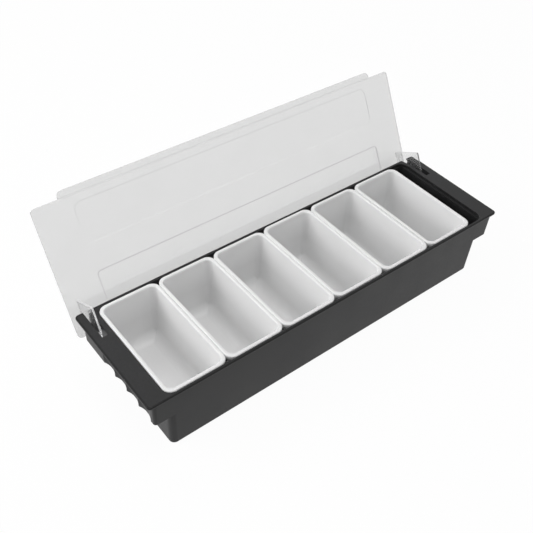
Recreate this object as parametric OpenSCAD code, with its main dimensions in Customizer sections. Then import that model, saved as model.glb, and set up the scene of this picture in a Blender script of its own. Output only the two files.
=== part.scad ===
// Condiment caddy: a long moulded tray, six loose food inserts hung in its well
// and a clear lid hinged along the back, drawn with the lid open.
// Millimetres. X runs along the length, Y from front to back and Z up.
// The origin is the middle of the tray's flat bottom.

/* [Tray] */
// Length over the end flanges
tray_l = 495; // [485:1:520]
// Depth over the front and rear flanges
tray_w = 143; // [141:0.5:150]
// Height from the table to the top of the flange
tray_h = 84.5; // [82:0.5:95]
// Thickness of the front and rear walls at the ledge
tray_wall = 3.4; // [3:0.1:3.6]
// Thickness of the end walls at the ledge
end_wall = 2.1; // [1.9:0.1:2.2]
// Thickness of the floor
tray_floor = 3; // [2:0.1:4]
// Draft of the walls, in degrees
tray_draft = 1.1; // [0.5:0.1:1.4]
// Radius of the upright corners of the body
tray_corner = 8; // [7.5:0.5:10]
// Radius where the walls turn under to the base
base_edge = 3.5; // [2:0.5:5]
// Radius where the walls meet the floor inside
floor_edge = 2.5; // [1:0.5:2.5]

/* [Flange] */
// Thickness of the flange
flange_t = 3.2; // [2.5:0.1:3.4]
// Radius of the flange's corners, seen from above
flange_corner = 4; // [3:0.5:7]
// Rounding of the flange's long edges
flange_edge = 1; // [0.8:0.1:1.2]
// How far the flange stands out past the front and rear walls
flange_over = 1.7; // [1.5:0.1:2]

/* [Well] */
// Width of the flange at each end, from the tray's end to the well
end_flange = 22; // [21:0.5:24]
// Width of the flange along the front and rear of the well
side_flange = 3.2; // [3:0.1:3.4]
// Depth of the ledge that the inserts hang on, below the flange's top
ledge_drop = 4; // [3.5:0.1:5]
// Radius of the well's corners at the flange
well_corner = 10.8; // [9:0.2:12]
// Clearance between the end inserts' bowls and the well's end walls
bowl_gap = 0.4; // [0.3:0.1:0.6]
// Thickness of the material behind and under the ledge at the ends
ledge_wall = 2.5; // [2:0.1:3]

/* [End blocks] */
// Height of the hollow block under each end flange
block_h = 33.5; // [30:0.5:35]
// How far the flange overhangs the block's end wall
block_over = 5.4; // [5.2:0.1:6]
// Thickness of the block's walls
block_wall = 2.8; // [2.5:0.1:3]
// Radius of the block's front upright corners
block_front = 4; // [3:0.5:6]
// Radius of the block's rear upright corners
block_rear = 7; // [5:0.5:8]
// Radius of the upright corners inside the block
block_inner = 4; // [3:0.5:5]

/* [Finger grips] */
// Number of finger grooves in each end wall
grip_count = 4; // [3:1:4]
// Spacing of the grooves
grip_pitch = 22.4; // [20:0.2:22.6]
// Depth of a groove at the wall's lower edge
grip_depth = 2.8; // [2:0.1:3]
// Width of the land between two grooves at the wall's lower edge
grip_land = 0.8; // [0.6:0.1:2]
// Where the rearmost groove ends, behind the tray's middle
grip_back = 27.2; // [24:0.2:27.6]

/* [Inserts] */
// Width of the free space left in the well past the last insert
spare_gap = 20; // [15:0.5:24]
// Clearance between an insert's lip and the well's side
lip_gap = 0.8; // [0.5:0.1:1.2]
// Gap between one insert and the next
insert_gap = 0.3; // [0.3:0.1:1]
// Gap in front of the last insert, which stands a little apart
last_gap = 1; // [0.3:0.1:2]
// How far an insert is pushed to the front of the well or to its back
insert_play = 0.4; // [0:0.1:0.4]
// How far the lips stand up above the flange
lip_proud = 1; // [0.5:0.1:2]
// Width of a lip
lip_w = 4; // [3.8:0.1:5]
// Thickness of the top of a lip
lip_t = 2.2; // [2:0.1:2.6]
// Thickness of a lip's outer skirt
skirt_t = 1.4; // [1.3:0.1:1.6]
// Rounding of a lip's outer top edge
lip_edge = 1.2; // [0.8:0.1:1.3]
// Rounding of a lip's inner top edge
lip_inner_edge = 1; // [0.8:0.1:1.2]
// Thickness of an insert's walls and floor
insert_wall = 1.6; // [1.4:0.1:1.8]
// Radius of an insert's upright corners, inside at the top
insert_corner = 7.5; // [6.5:0.5:9]
// Radius where an insert's walls meet its floor, inside
insert_floor_edge = 12; // [8:0.5:14]
// Draft of an insert's walls, in degrees
insert_draft = 2.5; // [1.5:0.1:3]
// Height of the space for ice between an insert and the tray's floor
ice_gap = 7; // [5:0.5:12]

/* [Lid] */
// Angle the lid is swung open from closed, in degrees
lid_open = 118.5; // [90:0.5:119]
// How much shorter the lid is than the tray at each end
lid_short = 0.8; // [0.5:0.1:3]
// Thickness of the lid
lid_t = 2.4; // [2:0.1:3]
// Radius of the lid's corners
lid_corner = 4.5; // [3:0.5:6]
// Rounding of the lid's edges
lid_edge = 0.5; // [0.3:0.1:0.6]
// How far the closed lid's front edge is behind the tray's front edge
lid_setback = 5.6; // [3:0.2:7]
// How far the closed lid reaches behind the tray's rear edge
lid_tail = 7.9; // [6.5:0.1:8]
// Gap between the closed lid and the inserts' lips
lid_gap = 1.5; // [1.5:0.1:2]
// How far the finger lip stands out past the lid's front edge
tab_out = 7.6; // [6:0.2:9]
// Length of the finger lip
tab_l = 432; // [400:1:440]
// Thickness of the finger lip
tab_t = 1.4; // [1.2:0.1:1.8]
// Radius of the finger lip's ends
tab_corner = 6; // [4:0.5:6]
// Depth of the shallow panels in the lid's inner face
panel_depth = 0.45; // [0.3:0.05:0.6]
// Length of the panels
panel_l = 407; // [380:1:410]
// Height of the panels
panel_w = 45; // [40:0.5:46]
// Distance from the lid's front edge to the front panel
panel_front = 9.6; // [8:0.2:12]
// Distance between the two panels
panel_space = 31.4; // [30:0.2:33]
// Radius of the front panel's corners
panel_round = 9; // [6:0.5:12]
// Radius of the rear panel's corners
panel_small_round = 4; // [3:0.5:6]

/* [Hinge] */
// Distance of the hinge axis in from the tray's rear edge
hinge_in = 7.8; // [7.5:0.1:8.5]
// Distance of the hinge axis below the top of the flange
hinge_drop = 13.5; // [13.3:0.1:14]
// Radius of the hinge pegs
peg_r = 3; // [2.5:0.1:3.5]
// Clearance around a peg
peg_gap = 0.05; // [0.03:0.01:0.1]
// Length of a peg inside its socket
peg_l = 2.6; // [2.2:0.1:2.7]
// Clearance past a peg's end
peg_end_gap = 0.5; // [0.3:0.1:0.8]
// Width of material around a peg's socket
socket_wall = 2.6; // [2:0.1:2.6]
// Thickness of an ear
ear_t = 2; // [1.8:0.1:2.2]
// Clearance between an ear and the inner side of its slot
ear_gap = 2.2; // [1.8:0.1:2.3]
// How far an ear reaches forward of the hinge axis, lid closed
ear_front = 24.8; // [22:0.1:25]
// How far an ear reaches down from the closed lid
ear_drop = 41; // [38:0.5:41]
// How far an ear reaches behind the hinge axis, lid closed
ear_rear = 9; // [8:0.1:9.5]
// Radius of an ear's front lower corner
ear_tip = 2.5; // [1:0.5:4]
// Distance of the ear slot's inner side from the tray's end
slot_in = 16.5; // [16:0.1:17]
// Width of the ear slot
slot_w = 7; // [6.5:0.1:7]
// Distance of the slot's front end from the tray's rear edge
slot_l = 41.4; // [41:0.1:43]
// How far the slot's inner side splays out at the rear
slot_splay = 4.4; // [3:0.1:5]
// Length of the splayed part of the slot
slot_splay_l = 17; // [14:0.5:20]

/* [Hidden] */
$fn = 48;
// Overlap that lets one solid cut or join another cleanly
eps = 0.5;

insert_count = 6;
// The inserts' width is a whole number of these steps
size_step = 0.02;

ledge_z = tray_h - ledge_drop;
lip_top = tray_h + lip_proud;

// Body of the tray at the flange's top, before the draft takes it in
body_w = tray_w - 2 * flange_over;
well_l = tray_l - 2 * end_flange;
well_w = tray_w - 2 * side_flange;

// Inside of the body at the flange's top: its ends clear the bowls of the inserts
cavity_l = well_l - 2 * (lip_gap + lip_w - insert_wall - bowl_gap);
cavity_w = body_w - 2 * tray_wall;
body_l = cavity_l + 2 * end_wall;
cavity_corner = tray_corner - tray_wall;

block_l = tray_l - 2 * block_over;
block_z = tray_h - block_h;
hollow_l = block_l - 2 * block_wall;
hollow_w = body_w - 2 * block_wall;
grip_half = (grip_pitch - grip_land) / 2;
grip_r = (grip_half * grip_half + grip_depth * grip_depth) / (2 * grip_depth);
grip_x = block_l / 2 - block_h * tan(tray_draft) - grip_depth + grip_r;

// Sum of the gaps between the first insert and the one numbered n from nought
function gap_sum(n) = n * insert_gap + (n == insert_count - 1 ? last_gap - insert_gap : 0);
insert_room = well_l - lip_gap - spare_gap - gap_sum(insert_count - 1);
insert_w = size_step * floor(insert_room / insert_count / size_step);
insert_d = well_w - 2 * lip_gap;
lip_corner = well_corner - lip_gap;
insert_x0 = -well_l / 2 + lip_gap + insert_w / 2;
insert_z = tray_floor + ice_gap;
bowl_w = insert_w - 2 * lip_w;
bowl_d = insert_d - 2 * lip_w;
bowl_h = lip_top - insert_z - insert_wall;

// Hinge
axis_y = tray_w / 2 - hinge_in;
axis_z = tray_h - hinge_drop;
lid_up = hinge_drop + lip_proud + lid_gap;
lid_l = tray_l - 2 * lid_short;
lid_front_y = -tray_w / 2 + lid_setback - axis_y;
lid_rear_y = tray_w / 2 + lid_tail - axis_y;
socket_x = tray_l / 2 - slot_in;
ear_x = socket_x + ear_gap;
slot_front_y = tray_w / 2 - slot_l;

tray_color = [0.16, 0.16, 0.17];
insert_color = [0.86, 0.86, 0.85];
lid_color = [0.9, 0.93, 0.95, 0.35];

// Half of a section, drawn outward from x = 0. Its side leans out to x = r at
// height h; low and top round the side's foot and head.
module half_section(r, h, low = 0, top = 0, lean = 0) {
    foot = r - h * tan(lean);
    low_x = foot + low * tan(lean) - low / cos(lean);
    top_x = r - top * tan(lean) - top / cos(lean);
    intersection() {
        union() {
            polygon([[0, 0], [low_x, 0],
                     [low_x + low * cos(lean), low - low * sin(lean)],
                     [top_x + top * cos(lean), h - top - top * sin(lean)],
                     [top_x, h], [0, h]]);
            if (low > 0) translate([low_x, low]) circle(low);
            if (top > 0) translate([top_x, h - top]) circle(top);
        }
        square([r + eps, h]);
    }
}

// Section for rounding the inner edge of an opening: it widens by e in a height e,
// and runs on above.
module flare_section(r, e) {
    difference() {
        square([r + e, e + eps]);
        translate([r + e, 0]) circle(e);
    }
}

// Full section: the child half section on both sides of a middle c to each side.
module both_sides(c, h) {
    translate([c, 0]) children();
    mirror([1, 0]) translate([c, 0]) children();
    translate([-c, 0]) square([2 * c, h]);
}

// Box with rounded upright corners: the child half section is carried round a
// rectangle of l by w whose corner radius is r.
module carried(l, w, r, h) {
    cx = l / 2 - r;
    cy = w / 2 - r;
    for (x = [-cx, cx], y = [-cy, cy])
        translate([x, y, 0]) rotate_extrude() children();
    rotate([90, 0, 90]) linear_extrude(2 * cx, center = true)
        both_sides(cy, h) children();
    rotate([90, 0, 0]) linear_extrude(2 * cy, center = true)
        both_sides(cx, h) children();
}

module rounded_box(l, w, r, h, low = 0, top = 0, lean = 0) {
    carried(l, w, r, h) half_section(r, h, low, top, lean);
}

// Tub with upright corners of radius r and a larger radius low along the floor.
module tub(l, w, r, h, low) {
    intersection() {
        rounded_box(l, w, r, h, lean = insert_draft);
        rotate([90, 0, 90]) linear_extrude(l, center = true)
            both_sides(low, h) half_section(w / 2 - low, h, low, lean = insert_draft);
        rotate([90, 0, 0]) linear_extrude(w, center = true)
            both_sides(low, h) half_section(l / 2 - low, h, low, lean = insert_draft);
    }
}

// Parts of the tray

// Hollow block under each end flange: one half has the front corners' radius, the
// other the rear corners'.
module block_half(r, back) {
    intersection() {
        translate([0, 0, block_z])
            rounded_box(block_l, body_w, r, block_h, lean = tray_draft);
        translate([-tray_l / 2, back ? 0 : -tray_w, block_z - eps])
            cube([tray_l, tray_w, block_h + eps - flange_t / 2]);
    }
}

module grips(r) {
    for (end = [-1, 1], i = [0 : grip_count - 1])
        translate([end * grip_x,
                   grip_back - grip_pitch * (i + 1 / 2), block_z - eps])
            cylinder(r = r, h = block_h + eps - flange_t);
}

module blocks() {
    difference() {
        union() {
            block_half(block_front, false);
            block_half(block_rear, true);
        }
        grips(grip_r);
        difference() {
            translate([0, 0, block_z - eps])
                rounded_box(hollow_l, hollow_w, block_inner, block_h + eps - flange_t,
                            lean = tray_draft);
            grips(grip_r + block_wall);
        }
    }
}

module body() {
    rounded_box(body_l, body_w, tray_corner, tray_h - flange_t / 2, low = base_edge,
                lean = tray_draft);
}

module flange() {
    translate([0, 0, tray_h - flange_t])
        rounded_box(tray_l, tray_w, flange_corner, flange_t, low = flange_edge,
                    top = flange_edge);
}

// Step that carries the ledge at the ends, where the well is wider than the body
module end_step() {
    translate([0, 0, ledge_z - ledge_wall])
        rounded_box(well_l + 2 * ledge_wall, well_w + side_flange - flange_over,
                    well_corner, ledge_drop + ledge_wall - flange_t / 2);
}

module well() {
    translate([0, 0, tray_floor])
        rounded_box(cavity_l, cavity_w, cavity_corner, tray_h - tray_floor,
                    low = floor_edge, lean = tray_draft);
    translate([0, 0, ledge_z])
        rounded_box(well_l, well_w, well_corner, ledge_drop + eps);
}

// Slot for the lid's ear: open at the rear, through the flange and the rear wall
module ear_slot() {
    outer = socket_x + slot_w;
    translate([0, 0, block_z - eps]) linear_extrude(block_h + 2 * eps)
        polygon([[socket_x, slot_front_y], [outer, slot_front_y],
                 [outer, tray_w / 2 + eps], [socket_x, tray_w / 2 + eps]]);
    translate([0, 0, tray_h - flange_t - eps]) linear_extrude(flange_t + 2 * eps)
        polygon([[socket_x, tray_w / 2 - slot_splay_l],
                 [socket_x + eps, tray_w / 2 + eps],
                 [socket_x - slot_splay, tray_w / 2 + eps],
                 [socket_x - slot_splay, tray_w / 2]]);
}

// Blind socket for a peg, on the well's end wall
module peg_boss() {
    boss_r = peg_r + peg_gap + socket_wall;
    inner = body_l / 2 - end_wall;
    translate([inner, axis_y, axis_z]) rotate([0, 90, 0])
        cylinder(r = boss_r, h = socket_x - inner);
    translate([inner, axis_y - socket_wall, axis_z])
        cube([socket_x - inner, 2 * socket_wall, hinge_drop - flange_t / 2]);
}

module peg_socket() {
    translate([socket_x - peg_l - peg_end_gap, axis_y, axis_z]) rotate([0, 90, 0])
        cylinder(r = peg_r + peg_gap, h = peg_l + peg_end_gap + eps);
}

module both_ends() {
    children();
    mirror([1, 0, 0]) children();
}

module tray() {
    color(tray_color) difference() {
        union() {
            blocks();
            body();
            end_step();
            flange();
            both_ends() peg_boss();
        }
        well();
        both_ends() ear_slot();
        both_ends() peg_socket();
    }
}

// Inserts

module insert(n, y = -insert_play) {
    x = insert_x0 + n * insert_w + gap_sum(n);
    groove_corner = lip_corner - skirt_t;
    color(insert_color) translate([x, y, 0]) difference() {
        union() {
            difference() {
                translate([0, 0, ledge_z])
                    rounded_box(insert_w, insert_d, lip_corner, lip_top - ledge_z,
                                top = lip_edge);
                translate([0, 0, ledge_z - eps])
                    rounded_box(insert_w - 2 * skirt_t, insert_d - 2 * skirt_t,
                                groove_corner, lip_top - ledge_z - lip_t + eps);
            }
            translate([0, 0, insert_z])
                tub(bowl_w + 2 * insert_wall, bowl_d + 2 * insert_wall,
                    insert_corner + insert_wall, lip_top - insert_z - lip_t / 2,
                    insert_floor_edge + insert_wall);
        }
        translate([0, 0, insert_z + insert_wall])
            tub(bowl_w, bowl_d, insert_corner, bowl_h, insert_floor_edge);
        translate([0, 0, lip_top - lip_inner_edge])
            carried(bowl_w, bowl_d, insert_corner, lip_inner_edge + eps)
                flare_section(insert_corner, lip_inner_edge);
    }
}

module insert_1() { insert(0); }
module insert_2() { insert(1); }
module insert_3() { insert(2); }
module insert_4() { insert(3, insert_play); }
module insert_5() { insert(4); }
module insert_6() { insert(5); }

// Lid, drawn closed with the hinge axis at the origin

module panel(front, r) {
    translate([0, front + panel_w / 2, lid_up - eps])
        rounded_box(panel_l, panel_w, r, panel_depth + eps);
}

// Ear at the right end: its rear lower corner is rounded about the hinge's side
module ear() {
    low = lid_up - ear_drop;
    high = lid_up + lid_t / 2;
    translate([ear_x, 0, 0]) rotate([90, 0, 90]) linear_extrude(ear_t) {
        translate([-ear_front, low + ear_tip]) square([ear_front, high - low - ear_tip]);
        translate([ear_tip - ear_front, low]) square([ear_front - ear_tip, high - low]);
        translate([ear_tip - ear_front, low + ear_tip]) circle(ear_tip);
        translate([0, low + ear_rear]) circle(ear_rear);
        translate([0, low + ear_rear]) square([ear_rear, high - low - ear_rear]);
    }
}

module lid() {
    depth = lid_rear_y - lid_front_y;
    color(lid_color) translate([0, axis_y, axis_z]) rotate([-lid_open, 0, 0]) {
        difference() {
            union() {
                translate([0, (lid_rear_y + lid_front_y) / 2, lid_up])
                    rounded_box(lid_l, depth, lid_corner, lid_t, low = lid_edge,
                                top = lid_edge);
                translate([0, lid_front_y, lid_up + lid_t - tab_t])
                    rounded_box(tab_l, 2 * tab_out, tab_corner, tab_t, low = lid_edge,
                                top = lid_edge);
            }
            panel(lid_front_y + panel_front, panel_round);
            panel(lid_front_y + panel_front + panel_w + panel_space, panel_small_round);
        }
        both_ends() {
            ear();
            translate([socket_x - peg_l, 0, 0]) rotate([0, 90, 0])
                cylinder(r = peg_r, h = peg_l + ear_gap + ear_t / 2);
        }
    }
}

tray();
insert_1();
insert_2();
insert_3();
insert_4();
insert_5();
insert_6();
lid();
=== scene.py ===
"""Looks of the condiment caddy: a black moulded tray, six white inserts and a clear lid."""

import logging
from dataclasses import dataclass, field
from enum import Enum
from typing import Any, Protocol

import bpy
from mathutils import Matrix, Vector

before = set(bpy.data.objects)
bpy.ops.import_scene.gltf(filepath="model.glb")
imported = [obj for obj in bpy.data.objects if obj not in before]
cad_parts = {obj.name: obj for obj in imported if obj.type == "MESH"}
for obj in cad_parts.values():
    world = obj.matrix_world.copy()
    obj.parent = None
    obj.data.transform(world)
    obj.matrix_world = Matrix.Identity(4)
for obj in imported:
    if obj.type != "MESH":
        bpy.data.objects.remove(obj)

logging.basicConfig(level=logging.INFO, format="%(message)s")
LOG = logging.getLogger("caddy")

MM = 0.001
ALONG_TRAY = (1.0, 0.0, 0.0)


class Ray(Enum):
    """Kinds of ray that a material or the surroundings treat apart."""

    CAMERA = "Is Camera Ray"
    GLOSSY = "Is Glossy Ray"
    TRANSMISSION = "Is Transmission Ray"
    SHADOW = "Is Shadow Ray"


def linear(hex_colour: str) -> tuple[float, float, float, float]:
    """Turns an sRGB colour into linear light.

    Args:
        hex_colour: Six hexadecimal digits after a leading mark.

    Returns:
        Linear red, green and blue, and an opacity of 1.
    """
    digits = hex_colour.lstrip("#")
    parts = [int(digits[i : i + 2], 16) / 255 for i in (0, 2, 4)]
    red, green, blue = (
        p / 12.92 if p <= 0.04045 else ((p + 0.055) / 1.055) ** 2.4 for p in parts
    )
    return (red, green, blue, 1.0)


def per_metre(size_mm: float) -> float:
    """Turns the size of a pattern's features into a texture scale.

    Args:
        size_mm: Size of one feature in millimetres.

    Returns:
        Features to a metre.
    """
    return 1.0 / (size_mm * MM)


def add_node(
    tree: bpy.types.NodeTree,
    kind: str,
    inputs: dict[str | int, Any] | None = None,
    **settings: Any,
) -> bpy.types.Node:
    """Adds a node, sets it up and links it.

    Args:
        tree: Node tree that receives the node.
        kind: Blender's name for the node type.
        inputs: Socket names or numbers with a value, or with the socket that feeds them.
        **settings: Attributes of the node itself.

    Returns:
        The new node.
    """
    node = tree.nodes.new(kind)
    for name, value in settings.items():
        setattr(node, name, value)
    for key, value in (inputs or {}).items():
        if isinstance(value, bpy.types.NodeSocket):
            tree.links.new(value, node.inputs[key])
        else:
            node.inputs[key].default_value = value
    return node


def blank_material(name: str) -> bpy.types.Material:
    """Makes a material with an empty node tree.

    Args:
        name: Name of the material.

    Returns:
        The material, with nodes on and none in its tree.
    """
    material = bpy.data.materials.new(name)
    material.use_nodes = True
    material.node_tree.nodes.clear()
    return material


def place_in_mm(tree: bpy.types.NodeTree) -> bpy.types.NodeSocket:
    """Reads the position on a piece.

    Args:
        tree: Node tree of the material.

    Returns:
        A socket with the position in millimetres from the tray's flat bottom.
    """
    place = add_node(tree, "ShaderNodeTexCoord").outputs["Object"]
    return add_node(
        tree, "ShaderNodeVectorMath", {0: place, "Scale": per_metre(1.0)}, operation="SCALE"
    ).outputs["Vector"]


def outline_distance(
    tree: bpy.types.NodeTree,
    place: bpy.types.NodeSocket,
    half_size: tuple[float, float],
    corner: float,
) -> bpy.types.NodeSocket:
    """Measures how far a point lies from the outline of a rounded rectangle.

    Args:
        tree: Node tree of the material.
        place: Position from the rectangle's middle, in millimetres.
        half_size: Half the length and half the width of the rectangle.
        corner: Radius of its corners.

    Returns:
        A socket with the distance, right near the outline and less than zero inside.
    """
    straight = (half_size[0] - corner, half_size[1] - corner, 0.0)
    vector = add_node(
        tree, "ShaderNodeVectorMath", {0: place, 1: (1.0, 1.0, 0.0)}, operation="MULTIPLY"
    ).outputs["Vector"]
    for second, operation in (
        ((0.0, 0.0, 0.0), "ABSOLUTE"), (straight, "SUBTRACT"), ((0.0, 0.0, 0.0), "MAXIMUM")
    ):
        vector = add_node(
            tree, "ShaderNodeVectorMath", {0: vector, 1: second}, operation=operation
        ).outputs["Vector"]
    reach = add_node(
        tree, "ShaderNodeVectorMath", {0: vector}, operation="LENGTH"
    ).outputs["Value"]
    return add_node(
        tree, "ShaderNodeMath", {0: reach, 1: corner}, operation="SUBTRACT"
    ).outputs["Value"]


class Finish(Protocol):
    """What every finish offers."""

    def build(self) -> bpy.types.Material:
        """Builds the node material."""


@dataclass(frozen=True)
class FlangeEdgeShade:
    """Painted shade along the rounded outer edge of the tray's flange, in millimetres.

    Up to `core` from the middle of the edge its colour keeps only the share `tone`, and
    from `fade` on it keeps all.
    """

    half_length: float = 247.5
    half_width: float = 71.5
    corner: float = 4.0
    height: float = 84.0
    inset: float = 0.5
    core: float = 0.9
    fade: float = 1.9
    # Share of the colour left under the painted shade.
    tone: float = 0.15

    def shade(
        self, tree: bpy.types.NodeTree, place: bpy.types.NodeSocket
    ) -> bpy.types.NodeSocket:
        """Paints shade on the edge.

        Args:
            tree: Node tree of the tray's material.
            place: Position in millimetres.

        Returns:
            A socket with the share of the colour that is left.
        """
        half_size = (self.half_length, self.half_width)
        outwards = add_node(
            tree, "ShaderNodeMath",
            {0: outline_distance(tree, place, half_size, self.corner), 1: self.inset},
            operation="ADD",
        ).outputs["Value"]
        height = add_node(tree, "ShaderNodeSeparateXYZ", {0: place}).outputs["Z"]
        upwards = add_node(
            tree, "ShaderNodeMath", {0: height, 1: self.height}, operation="SUBTRACT"
        ).outputs["Value"]
        offset = add_node(
            tree, "ShaderNodeCombineXYZ", {0: outwards, 1: upwards}
        ).outputs["Vector"]
        off_edge = add_node(
            tree, "ShaderNodeVectorMath", {0: offset}, operation="LENGTH"
        ).outputs["Value"]
        return add_node(
            tree, "ShaderNodeMapRange",
            {"Value": off_edge, "From Min": self.core, "From Max": self.fade,
             "To Min": self.tone, "To Max": 1.0},
        ).outputs["Result"]


@dataclass(frozen=True)
class PaintedStepLine:
    """Painted light and shade on one moulded step's outline in the lid's plate, in its plane.

    Lengths are in millimetres, and `low` and `high` count upwards from the hinge. The
    tones are the share of painted light added or painted shade taken at the step's
    lower and upper edge, in full up to `core` from the line and not at all past `fade`.
    """

    low: float
    high: float
    half_length: float
    corner: float
    lower_painted_light: float
    upper_painted_light: float
    core: float = 0.4
    fade: float = 1.2

    def draw(
        self, tree: bpy.types.NodeTree, place: bpy.types.NodeSocket
    ) -> bpy.types.NodeSocket:
        """Paints light and shade along the outline.

        Args:
            tree: Node tree of the lid's material.
            place: Position along and up the plate, in millimetres.

        Returns:
            A socket with the share of painted light added or painted shade taken.
        """
        half = (self.high - self.low) / 2
        middle = add_node(
            tree, "ShaderNodeVectorMath", {0: place, 1: (0.0, self.low + half, 0.0)},
            operation="SUBTRACT",
        ).outputs["Vector"]
        up = add_node(tree, "ShaderNodeSeparateXYZ", {0: middle}).outputs["Y"]
        off_line = add_node(
            tree, "ShaderNodeMath",
            {0: outline_distance(tree, middle, (self.half_length, half), self.corner)},
            operation="ABSOLUTE",
        ).outputs["Value"]
        on_line = add_node(
            tree, "ShaderNodeMapRange",
            {"Value": off_line, "From Min": self.core, "From Max": self.fade,
             "To Min": 1.0, "To Max": 0.0},
        ).outputs["Result"]
        tone = add_node(
            tree, "ShaderNodeMapRange",
            {"Value": up, "From Min": -half, "From Max": half,
             "To Min": self.lower_painted_light, "To Max": self.upper_painted_light},
        ).outputs["Result"]
        return add_node(
            tree, "ShaderNodeMath", {0: on_line, 1: tone}, operation="MULTIPLY"
        ).outputs["Value"]


@dataclass(frozen=True)
class GrainedBlackPlastic:
    """Black ABS, injection moulded in a spark-eroded tool.

    The tool leaves a fine even grain, so the black is satin: it takes a broad grey
    sheen from the pale surroundings and has no sharp reflections. The flange's rounded
    edge carries painted shade, a thin darker line.
    """

    name: str = "grained_black_abs"
    colour: str = "#232323"
    pale_colour: str = "#2d2d2e"
    roughness: tuple[float, float] = (0.37, 0.49)
    ior: float = 1.5
    shine: float = 0.2
    cloud_mm: float = 45.0
    mottle_mm: float = 2.6
    blend_range: tuple[float, float] = (0.12, 0.4)
    grain_mm: float = 0.7
    grain_depth_mm: float = 0.05
    grain_strength: float = 0.35
    # Painted shade: a thin darker line along the flange's outer edge.
    edge: FlangeEdgeShade = FlangeEdgeShade()

    def build(self) -> bpy.types.Material:
        """Builds the node material.

        Returns:
            The finished material.
        """
        material = blank_material(self.name)
        tree = material.node_tree
        place = add_node(tree, "ShaderNodeTexCoord").outputs["Object"]
        # Slow changes of tone where the melt flowed through a large moulding.
        cloud = add_node(
            tree, "ShaderNodeTexNoise",
            {"Vector": place, "Scale": per_metre(self.cloud_mm), "Detail": 3.0,
             "Roughness": 0.55},
        ).outputs["Fac"]
        # Fine mottling of the grain, drawn a little coarser than it is so that it shows.
        mottle = add_node(
            tree, "ShaderNodeTexNoise",
            {"Vector": place, "Scale": per_metre(self.mottle_mm), "Detail": 4.0,
             "Roughness": 0.65},
        ).outputs["Fac"]
        blend = add_node(
            tree, "ShaderNodeMath", {0: cloud, 1: mottle}, operation="MULTIPLY"
        ).outputs["Value"]
        share = add_node(
            tree, "ShaderNodeMapRange",
            {"Value": blend, "From Min": self.blend_range[0], "From Max": self.blend_range[1]},
        ).outputs["Result"]
        colour = add_node(
            tree, "ShaderNodeMix",
            {0: share, 6: linear(self.colour), 7: linear(self.pale_colour)},
            data_type="RGBA",
        ).outputs[2]
        # Painted shade: the colour is darkened along the flange's outer edge.
        colour = add_node(
            tree, "ShaderNodeHueSaturation",
            {"Color": colour, "Value": self.edge.shade(tree, place_in_mm(tree))},
        ).outputs["Color"]
        rough = add_node(
            tree, "ShaderNodeMapRange",
            {"Value": share, "To Min": self.roughness[0], "To Max": self.roughness[1]},
        ).outputs["Result"]
        grain = add_node(
            tree, "ShaderNodeTexNoise",
            {"Vector": place, "Scale": per_metre(self.grain_mm), "Detail": 2.0},
        ).outputs["Fac"]
        bump = add_node(
            tree, "ShaderNodeBump",
            {"Height": grain, "Strength": self.grain_strength,
             "Distance": self.grain_depth_mm * MM},
        ).outputs["Normal"]
        shader = add_node(
            tree, "ShaderNodeBsdfPrincipled",
            {"Base Color": colour, "Roughness": rough, "Normal": bump, "IOR": self.ior,
             "Specular IOR Level": self.shine},
        ).outputs["BSDF"]
        add_node(tree, "ShaderNodeOutputMaterial", {"Surface": shader})
        return material


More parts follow.
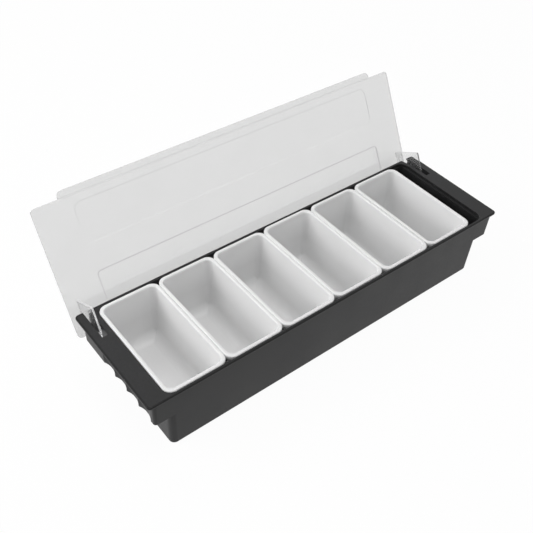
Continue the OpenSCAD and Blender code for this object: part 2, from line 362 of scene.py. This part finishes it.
@dataclass(frozen=True)
class PolishedWhitePlastic:
    """White polypropylene, injection moulded in a polished tool.

    The surface is smooth with a faint ripple, so it has a soft sheen and looks a
    little milky. Each wall has painted light, so it is paler near its top by the lip.
    """

    name: str = "polished_white_polypropylene"
    colour: str = "#e8e8e8"
    shaded_colour: str = "#e5e5e5"
    # Painted light: walls turn paler near the lip, fading in over these heights.
    painted_light_colour: str = "#fdfdfd"
    painted_light_height_mm: tuple[float, float] = (48.0, 84.0)
    upright_range: tuple[float, float] = (0.3, 0.8)
    roughness: tuple[float, float] = (0.29, 0.35)
    ior: float = 1.49
    ripple_mm: float = 24.0
    ripple_range: tuple[float, float] = (0.3, 0.7)
    peel_mm: float = 2.0
    peel_depth_mm: float = 0.04
    peel_strength: float = 0.12
    milkiness: float = 0.5
    glow_depth_mm: float = 2.5

    def painted_light_share(self, tree: bpy.types.NodeTree) -> bpy.types.NodeSocket:
        """Works out the share of painted light on a wall, which grows towards the lip above
        it.

        Args:
            tree: Node tree of the material.

        Returns:
            A socket that is 1 on upright faces near the lip and 0 on flat or low ones.
        """
        height = add_node(
            tree, "ShaderNodeSeparateXYZ", {0: place_in_mm(tree)}
        ).outputs["Z"]
        near_lip = add_node(
            tree, "ShaderNodeMapRange",
            {"Value": height, "From Min": self.painted_light_height_mm[0],
             "From Max": self.painted_light_height_mm[1]},
        ).outputs["Result"]
        facing = add_node(tree, "ShaderNodeTexCoord").outputs["Normal"]
        upwards = add_node(
            tree, "ShaderNodeMath",
            {0: add_node(tree, "ShaderNodeSeparateXYZ", {0: facing}).outputs["Z"]},
            operation="ABSOLUTE",
        ).outputs["Value"]
        upright = add_node(
            tree, "ShaderNodeMapRange",
            {"Value": upwards, "From Min": self.upright_range[0],
             "From Max": self.upright_range[1], "To Min": 1.0, "To Max": 0.0},
        ).outputs["Result"]
        return add_node(
            tree, "ShaderNodeMath", {0: near_lip, 1: upright}, operation="MULTIPLY"
        ).outputs["Value"]

    def build(self) -> bpy.types.Material:
        """Builds the node material.

        Returns:
            The finished material.
        """
        material = blank_material(self.name)
        tree = material.node_tree
        place = add_node(tree, "ShaderNodeTexCoord").outputs["Object"]
        ripple = add_node(
            tree, "ShaderNodeTexNoise",
            {"Vector": place, "Scale": per_metre(self.ripple_mm), "Detail": 3.0},
        ).outputs["Fac"]
        colour = add_node(
            tree, "ShaderNodeMix",
            {0: ripple, 6: linear(self.colour), 7: linear(self.shaded_colour)},
            data_type="RGBA",
        ).outputs[2]
        # Painted light on upright walls near the lip.
        colour = add_node(
            tree, "ShaderNodeMix",
            {0: self.painted_light_share(tree), 6: colour, 7: linear(self.painted_light_colour)},
            data_type="RGBA",
        ).outputs[2]
        rough = add_node(
            tree, "ShaderNodeMapRange",
            {"Value": ripple, "From Min": self.ripple_range[0],
             "From Max": self.ripple_range[1], "To Min": self.roughness[0],
             "To Max": self.roughness[1]},
        ).outputs["Result"]
        peel = add_node(
            tree, "ShaderNodeTexNoise",
            {"Vector": place, "Scale": per_metre(self.peel_mm), "Detail": 2.0},
        ).outputs["Fac"]
        bump = add_node(
            tree, "ShaderNodeBump",
            {"Height": peel, "Strength": self.peel_strength,
             "Distance": self.peel_depth_mm * MM},
        ).outputs["Normal"]
        shader = add_node(
            tree, "ShaderNodeBsdfPrincipled",
            {"Base Color": colour, "Roughness": rough, "Normal": bump, "IOR": self.ior,
             "Subsurface Weight": self.milkiness, "Subsurface Radius": (1.0, 1.0, 1.0),
             "Subsurface Scale": self.glow_depth_mm * MM},
        ).outputs["BSDF"]
        add_node(tree, "ShaderNodeOutputMaterial", {"Surface": shader})
        return material


@dataclass(frozen=True)
class HazyClearPlastic:
    """Clear SAN, injection moulded in a plain tool.

    It is see-through with a neutral grey cast, and a slight haze that catches the
    light on the edges. The steps of the panels carry painted light and shade.
    """

    name: str = "hazy_clear_san"
    colour: str = "#eaeaea"
    clouded_colour: str = "#e6e6e6"
    roughness: tuple[float, float] = (0.06, 0.11)
    ior: float = 1.5
    haze_mm: float = 38.0
    haze_range: tuple[float, float] = (0.35, 0.75)
    clearness: float = 0.82
    ear_clearness: float = 0.95
    edge_clearness: float = 0.25
    flat_range: tuple[float, float] = (0.3, 0.8)
    shadow_colour: str = "#e8e8e8"
    # Square to the open lid's plate, which leans back by 28.5 degrees.
    plate_normal: tuple[float, float, float] = (0.0, -0.879, 0.477)
    # Up the open plate, and how far up that way the hinge already is.
    plate_up: tuple[float, float, float] = (0.0, 0.477, 0.879)
    hinge_up_mm: float = 92.8
    # Painted light and shade at the rear panel, front panel and the joint of the finger lip.
    painted_step_lines: tuple[PaintedStepLine, ...] = (
        PaintedStepLine(-1.4, 43.6, 203.5, 4.0, 0.0, -0.17),
        PaintedStepLine(75.0, 120.0, 203.5, 9.0, 0.03, -0.06),
        PaintedStepLine(129.6, 160.0, 216.0, 2.0, -0.08, 0.0),
    )

    def painted_step_light(self, tree: bpy.types.NodeTree) -> bpy.types.NodeSocket:
        """Paints light and shade on the plate's steps, standing in for their rounded corners.

        Args:
            tree: Node tree of the material.

        Returns:
            A socket with the share of light that comes through.
        """
        place = place_in_mm(tree)
        along, up = (
            add_node(
                tree, "ShaderNodeVectorMath", {0: place, 1: way}, operation="DOT_PRODUCT"
            ).outputs["Value"]
            for way in (ALONG_TRAY, self.plate_up)
        )
        up = add_node(
            tree, "ShaderNodeMath", {0: up, 1: self.hinge_up_mm}, operation="SUBTRACT"
        ).outputs["Value"]
        on_plate = add_node(tree, "ShaderNodeCombineXYZ", {0: along, 1: up}).outputs["Vector"]
        share: float | bpy.types.NodeSocket = 1.0
        for line in self.painted_step_lines:
            share = add_node(
                tree, "ShaderNodeMath", {0: share, 1: line.draw(tree, on_plate)},
                operation="ADD",
            ).outputs["Value"]
        return share

    def clear_where(
        self,
        tree: bpy.types.NodeTree,
        facing: bpy.types.NodeSocket,
        normal: tuple[float, float, float],
        most: float,
    ) -> bpy.types.NodeSocket:
        """Works out how clear a face is from the way it faces.

        Args:
            tree: Node tree of the material.
            facing: The face's own direction.
            normal: Direction that the clear faces have.
            most: Clearness of those faces.

        Returns:
            A socket with the clearness.
        """
        turned = add_node(
            tree, "ShaderNodeVectorMath", {0: facing, 1: normal}, operation="DOT_PRODUCT"
        ).outputs["Value"]
        flat = add_node(
            tree, "ShaderNodeMath", {0: turned}, operation="ABSOLUTE"
        ).outputs["Value"]
        return add_node(
            tree, "ShaderNodeMapRange",
            {"Value": flat, "From Min": self.flat_range[0], "From Max": self.flat_range[1],
             "To Min": self.edge_clearness, "To Max": most},
        ).outputs["Result"]

    def build(self) -> bpy.types.Material:
        """Builds the node material.

        Returns:
            The finished material.
        """
        material = blank_material(self.name)
        tree = material.node_tree
        place = add_node(tree, "ShaderNodeTexCoord").outputs["Object"]
        haze = add_node(
            tree, "ShaderNodeTexNoise",
            {"Vector": place, "Scale": per_metre(self.haze_mm), "Detail": 5.0,
             "Roughness": 0.6},
        ).outputs["Fac"]
        rough = add_node(
            tree, "ShaderNodeMapRange",
            {"Value": haze, "From Min": self.haze_range[0], "From Max": self.haze_range[1],
             "To Min": self.roughness[0], "To Max": self.roughness[1]},
        ).outputs["Result"]
        tint = add_node(
            tree, "ShaderNodeMix",
            {0: haze, 6: linear(self.colour), 7: linear(self.clouded_colour)},
            data_type="RGBA",
        ).outputs[2]
        # Painted light and shade along the steps of the panels.
        tint = add_node(
            tree, "ShaderNodeHueSaturation", {"Color": tint, "Value": self.painted_step_light(tree)}
        ).outputs["Color"]
        # Narrow faces, square to both the plate and the ears, are frosted by the tool's cut.
        facing = add_node(tree, "ShaderNodeTexCoord").outputs["Normal"]
        clear_plate, clear_ear = (
            self.clear_where(tree, facing, normal, most)
            for normal, most in (
                (self.plate_normal, self.clearness), (ALONG_TRAY, self.ear_clearness)
            )
        )
        clearness = add_node(
            tree, "ShaderNodeMath", {0: clear_plate, 1: clear_ear}, operation="MAXIMUM"
        ).outputs["Value"]
        clear = add_node(
            tree, "ShaderNodeBsdfPrincipled",
            {"Base Color": tint, "Roughness": rough, "IOR": self.ior,
             "Transmission Weight": clearness},
        ).outputs["BSDF"]
        # Lamps shine through a clear plate, which bent light alone wouldn't show.
        let_through = add_node(
            tree, "ShaderNodeBsdfTransparent", {"Color": linear(self.shadow_colour)}
        ).outputs["BSDF"]
        shadow = add_node(tree, "ShaderNodeLightPath").outputs[Ray.SHADOW.value]
        surface = add_node(
            tree, "ShaderNodeMixShader", {0: shadow, 1: clear, 2: let_through}
        ).outputs["Shader"]
        add_node(tree, "ShaderNodeOutputMaterial", {"Surface": surface})
        return material


@dataclass
class Moulding:
    """Parts moulded in one plastic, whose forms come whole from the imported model."""

    nodes: tuple[str, ...]
    finish: Finish

    def dress(self) -> None:
        """Puts the finish on each of the parts."""
        material = self.finish.build()
        for name in self.nodes:
            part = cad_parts[name]
            part.data.materials.clear()
            part.data.materials.append(material)
            LOG.info("%s wears %s", name, material.name)


@dataclass
class Tray(Moulding):
    """The long tray with its well, end blocks and finger grips."""

    nodes: tuple[str, ...] = ("tray",)
    finish: Finish = field(default_factory=GrainedBlackPlastic)


@dataclass
class InsertRow(Moulding):
    """The loose inserts that hang in the well."""

    nodes: tuple[str, ...] = tuple(f"insert_{number}" for number in range(1, 7))
    finish: Finish = field(default_factory=PolishedWhitePlastic)


@dataclass
class Lid(Moulding):
    """The clear lid with its two ears."""

    nodes: tuple[str, ...] = ("lid",)
    finish: Finish = field(default_factory=HazyClearPlastic)


@dataclass(frozen=True)
class Lamp:
    """One soft square lamp, in metres and watts."""

    name: str
    place: tuple[float, float, float]
    size: float
    power: float

    def hang(self, aim: Vector) -> None:
        """Hangs the lamp.

        Args:
            aim: The point it faces.
        """
        light = bpy.data.lights.new(self.name, "AREA")
        light.energy = self.power
        light.size = self.size
        lamp = bpy.data.objects.new(self.name, light)
        lamp.location = self.place
        lamp.rotation_euler = (aim - lamp.location).to_track_quat("-Z", "Y").to_euler()
        bpy.context.scene.collection.objects.link(lamp)


@dataclass
class Studio:
    """Pale floor, white surroundings and soft lamps, in metres."""

    floor_colour: str = "#f4f4f4"
    floor_half: float = 4.0
    floor_glow: float = 0.96
    white: str = "#ffffff"
    fill_level: float = 0.36
    aim: tuple[float, float, float] = (0.0, 0.0, 0.08)
    lamps: tuple[Lamp, ...] = (
        Lamp("key", (-1.6, 0.85, 1.15), 1.2, 21.0),
        Lamp("top", (-0.1, -0.25, 2.2), 0.9, 15.0),
        # Its sheen lies on the left end of the tray's top.
        Lamp("rear", (0.24, 1.05, 1.47), 0.5, 1.7),
    )

    def seen_white(self, tree: bpy.types.NodeTree) -> bpy.types.NodeSocket:
        """Picks out the rays that see the surroundings, be it in a sheen or through glass.

        Args:
            tree: Node tree of the world or the floor.

        Returns:
            A socket that is 1 for those rays and 0 for the rest.
        """
        path = add_node(tree, "ShaderNodeLightPath")
        total = path.outputs[Ray.CAMERA.value]
        for ray in (Ray.GLOSSY, Ray.TRANSMISSION):
            total = add_node(
                tree, "ShaderNodeMath", {0: total, 1: path.outputs[ray.value]},
                operation="MAXIMUM",
            ).outputs["Value"]
        return total

    def world(self) -> None:
        """Makes the surroundings white to look at and gentler as light."""
        world = bpy.data.worlds.new("studio")
        bpy.context.scene.world = world
        world.use_nodes = True
        tree = world.node_tree
        tree.nodes.clear()
        soft, plain = (
            add_node(
                tree, "ShaderNodeBackground", {"Color": linear(self.white), "Strength": level}
            ).outputs["Background"]
            for level in (self.fill_level, 1.0)
        )
        mix = add_node(
            tree, "ShaderNodeMixShader", {0: self.seen_white(tree), 1: soft, 2: plain}
        ).outputs["Shader"]
        add_node(tree, "ShaderNodeOutputWorld", {"Surface": mix})

    def floor(self) -> None:
        """Lays the floor, a matt painted board that shows no sheen."""
        h = self.floor_half
        mesh = bpy.data.meshes.new("floor")
        mesh.from_pydata([(-h, -h, 0), (h, -h, 0), (h, h, 0), (-h, h, 0)], [], [(0, 1, 2, 3)])
        floor = bpy.data.objects.new("floor", mesh)
        bpy.context.scene.collection.objects.link(floor)
        material = blank_material("pale_floor")
        tree = material.node_tree
        matt = add_node(
            tree, "ShaderNodeBsdfDiffuse", {"Color": linear(self.floor_colour)}
        ).outputs["BSDF"]
        glow = add_node(
            tree, "ShaderNodeEmission", {"Color": linear(self.white), "Strength": 1.0}
        ).outputs["Emission"]
        share = add_node(
            tree, "ShaderNodeMath", {0: self.seen_white(tree), 1: self.floor_glow},
            operation="MULTIPLY",
        ).outputs["Value"]
        # The shadow lies beside the tray and doesn't show through the clear lid.
        through = add_node(tree, "ShaderNodeLightPath").outputs[Ray.TRANSMISSION.value]
        share = add_node(
            tree, "ShaderNodeMath", {0: share, 1: through}, operation="MAXIMUM"
        ).outputs["Value"]
        mix = add_node(
            tree, "ShaderNodeMixShader", {0: share, 1: matt, 2: glow}
        ).outputs["Shader"]
        add_node(tree, "ShaderNodeOutputMaterial", {"Surface": mix})
        mesh.materials.append(material)

    def build(self) -> None:
        """Sets up the surroundings, the floor and the lamps."""
        self.world()
        self.floor()
        for lamp in self.lamps:
            lamp.hang(Vector(self.aim))
        LOG.info("studio is lit by %d lamps", len(self.lamps))


@dataclass
class Viewpoint:
    """Camera at the photograph's viewing angle, fitted to the tray's straight edges."""

    place_mm: tuple[float, float, float] = (-436.55, -444.53, 662.10)
    ahead: tuple[float, float, float] = (0.4714, 0.5496, -0.6897)
    right: tuple[float, float, float] = (0.7858, -0.6169, 0.0454)
    lens_mm: float = 51.16
    sensor_mm: float = 36.0
    nearest_m: float = 0.01

    def build(self) -> None:
        """Makes the camera and gives it to the scene."""
        ahead = Vector(self.ahead).normalized()
        right = Vector(self.right)
        right = (right - ahead * right.dot(ahead)).normalized()
        up = right.cross(ahead)
        lens = bpy.data.cameras.new("camera")
        lens.lens = self.lens_mm
        lens.sensor_width = self.sensor_mm
        lens.clip_start = self.nearest_m
        camera = bpy.data.objects.new("camera", lens)
        turn = Matrix((right, up, -ahead)).transposed().to_4x4()
        camera.matrix_world = Matrix.Translation(Vector(self.place_mm) * MM) @ turn
        bpy.context.scene.collection.objects.link(camera)
        bpy.context.scene.camera = camera
        LOG.info("camera is in place")


def main() -> None:
    """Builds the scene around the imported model."""
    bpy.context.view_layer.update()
    bpy.context.scene.view_settings.view_transform = "Standard"
    Viewpoint().build()
    for moulding in (Tray(), InsertRow(), Lid()):
        moulding.dress()
    Studio().build()


if __name__ == "__main__":
    main()
